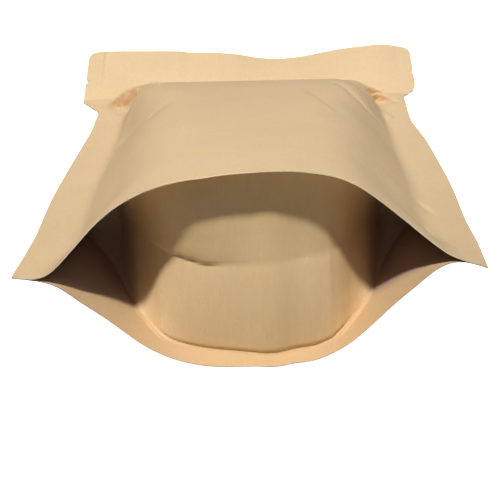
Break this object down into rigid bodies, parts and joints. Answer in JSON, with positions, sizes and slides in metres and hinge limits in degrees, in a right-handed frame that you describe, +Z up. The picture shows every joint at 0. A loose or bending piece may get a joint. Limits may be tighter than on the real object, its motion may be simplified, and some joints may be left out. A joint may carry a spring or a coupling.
{
  "type": "stand-up pouch",
  "caption": "Kraft paper stand-up pouch, zipped shut and full of air, lying on its back, with a raised zipper header, tear notches, welded sides and an open bottom gusset.",
  "frame": {"origin": "middle of the floor under the lying pouch", "axes": "+X across the pouch, +Y from the bottom gusset to the zipper header, +Z up"},
  "size_m": [0.16, 0.2382, 0.0609],
  "materials": {
    "kraft_paper": "uncoated brown kraft paper laminate, matt, with fine fibre flecks and soft creases"
  },
  "bodies": {
    "root": {"pouch": "kraft_paper"}
  },
  "joints": []
}
